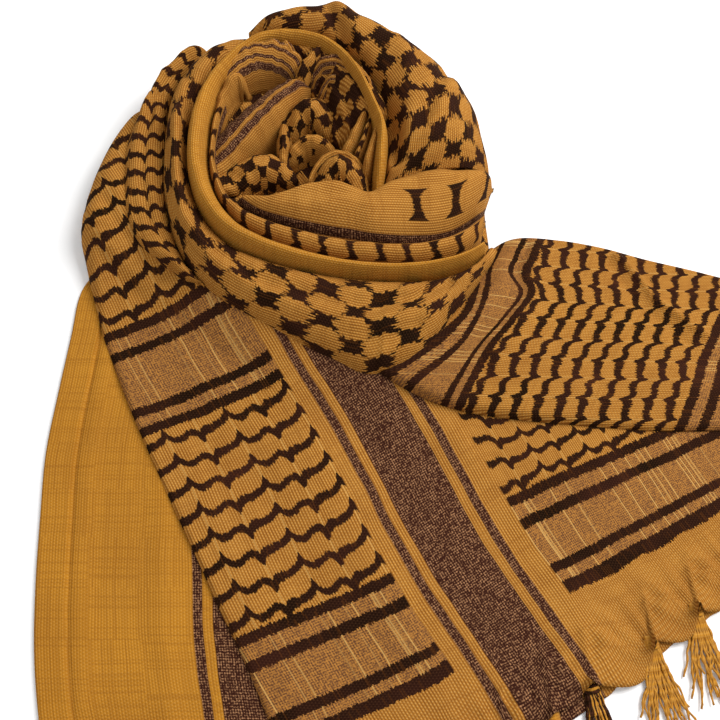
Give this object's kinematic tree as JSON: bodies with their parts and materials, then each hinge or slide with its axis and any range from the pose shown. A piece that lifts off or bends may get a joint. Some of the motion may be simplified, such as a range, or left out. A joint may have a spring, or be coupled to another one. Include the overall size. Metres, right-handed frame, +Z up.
{
  "type": "head scarf",
  "caption": "Square cotton head scarf with a woven pattern and a knotted fringe, swirled into a rosette and laid flat with its corners spread.",
  "frame": {"origin": "centre of the bounding box, on the surface that the scarf lies on", "axes": "+Z up from the surface, +Y away from the viewer towards the rosette, +X towards the right panel"},
  "size_m": [0.704, 0.7516, 0.0889],
  "materials": {
    "arc_fold": "ochre cotton woven with a black pattern",
    "band_tassel": "black cotton threads",
    "crown": "ochre cotton woven with a black pattern",
    "dash_band": "ochre cotton woven with a black pattern",
    "fan_fold": "plain woven ochre cotton",
    "front_band": "ochre cotton woven with a black pattern",
    "hem_fringe": "plain woven ochre cotton",
    "hem_fringe_left": "plain woven ochre cotton",
    "hidden_layers": "ochre cotton woven with a black pattern",
    "knot_fold": "ochre cotton woven with a black pattern",
    "leaf_fold": "plain woven ochre cotton",
    "left_fold": "ochre cotton woven with a black pattern",
    "left_fringe": "plain woven ochre cotton",
    "left_panel": "plain woven ochre cotton",
    "lower_fold": "ochre cotton woven with a black pattern",
    "main_flap": "plain woven ochre cotton",
    "middle_fold": "ochre cotton woven with a black pattern",
    "plain_band": "plain woven ochre cotton",
    "right_fringe": "plain woven ochre cotton",
    "right_panel": "ochre cotton woven with a black pattern",
    "rolled_selvedge": "plain woven ochre cotton",
    "striped_fold": "ochre cotton woven with a black pattern",
    "top_fold": "plain woven ochre cotton",
    "woven_fold": "close dark woven stripe"
  },
  "bodies": {
    "root": {"arc_fold": "arc_fold", "band_tassel": "band_tassel", "crown": "crown", "dash_band": "dash_band", "fan_fold": "fan_fold", "front_band": "front_band", "hem_fringe": "hem_fringe", "hem_fringe_left": "hem_fringe_left", "hidden_layers": "hidden_layers", "knot_fold": "knot_fold", "leaf_fold": "leaf_fold", "left_fold": "left_fold", "left_fringe": "left_fringe", "left_panel": "left_panel", "lower_fold": "lower_fold", "main_flap": "main_flap", "middle_fold": "middle_fold", "plain_band": "plain_band", "right_fringe": "right_fringe", "right_panel": "right_panel", "rolled_selvedge": "rolled_selvedge", "striped_fold": "striped_fold", "top_fold": "top_fold", "woven_fold": "woven_fold"}
  },
  "joints": []
}
